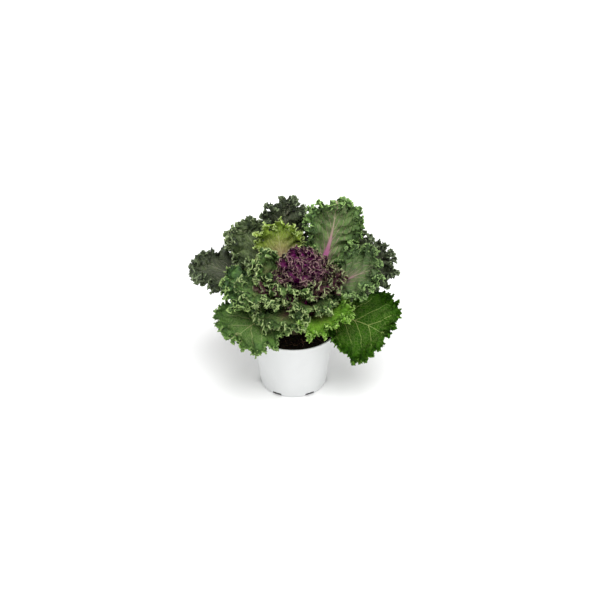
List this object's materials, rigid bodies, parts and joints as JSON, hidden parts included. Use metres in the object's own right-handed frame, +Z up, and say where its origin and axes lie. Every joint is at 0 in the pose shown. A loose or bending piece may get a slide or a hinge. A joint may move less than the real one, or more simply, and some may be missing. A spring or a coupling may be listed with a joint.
{
  "type": "ornamental kale plant in a nursery pot",
  "caption": "Ornamental kale with crimped leaves round a dense heart on a short stem, in a tapered pot with drain notches.",
  "frame": {"origin": "middle of the pot's flat underside, where it stands", "axes": "+Z up, -Y towards the front of the plant, +X to its right seen from the front"},
  "size_m": [0.2818, 0.2323, 0.2472],
  "materials": {
    "pot": "smooth satin white plastic",
    "soil": "loose dark potting soil with fine fibres",
    "stem": "woody stem with pale leaf scars",
    "heart": "purple and magenta waxy leaf with crimped grey-green edges",
    "leaf_green": "waxy blue-green leaf with pink midrib and paler crimped edge",
    "leaf_deep": "deep green waxy leaf with pale veins",
    "leaf_dark": "grey-green to purple waxy leaf",
    "leaf_light": "yellow-green young leaf"
  },
  "bodies": {
    "root": {"pot": "pot", "soil": "soil", "stem": "stem", "heart": "heart", "leaf_right_low": "leaf_deep", "leaf_front_right": "leaf_green", "leaf_front_left": "leaf_deep", "leaf_left_mid": "leaf_green", "leaf_left_far": "leaf_dark", "leaf_left_up": "leaf_dark", "leaf_top_left": "leaf_dark", "leaf_top_right": "leaf_green", "leaf_light_inner": "leaf_light", "leaf_back_right": "leaf_dark", "leaf_right_far": "leaf_dark", "leaf_right_mid": "leaf_green", "leaf_mid_front_left": "leaf_green", "leaf_mid_left": "leaf_green", "leaf_mid_front": "leaf_green", "leaf_inner_right": "leaf_green", "leaf_inner_left": "leaf_green", "leaf_inner_front": "leaf_green", "leaf_back_a": "leaf_dark", "leaf_back_b": "leaf_dark", "leaf_inner_back": "leaf_green", "leaf_inner_side": "leaf_green", "leaf_inner_low": "leaf_green"}
  },
  "joints": []
}
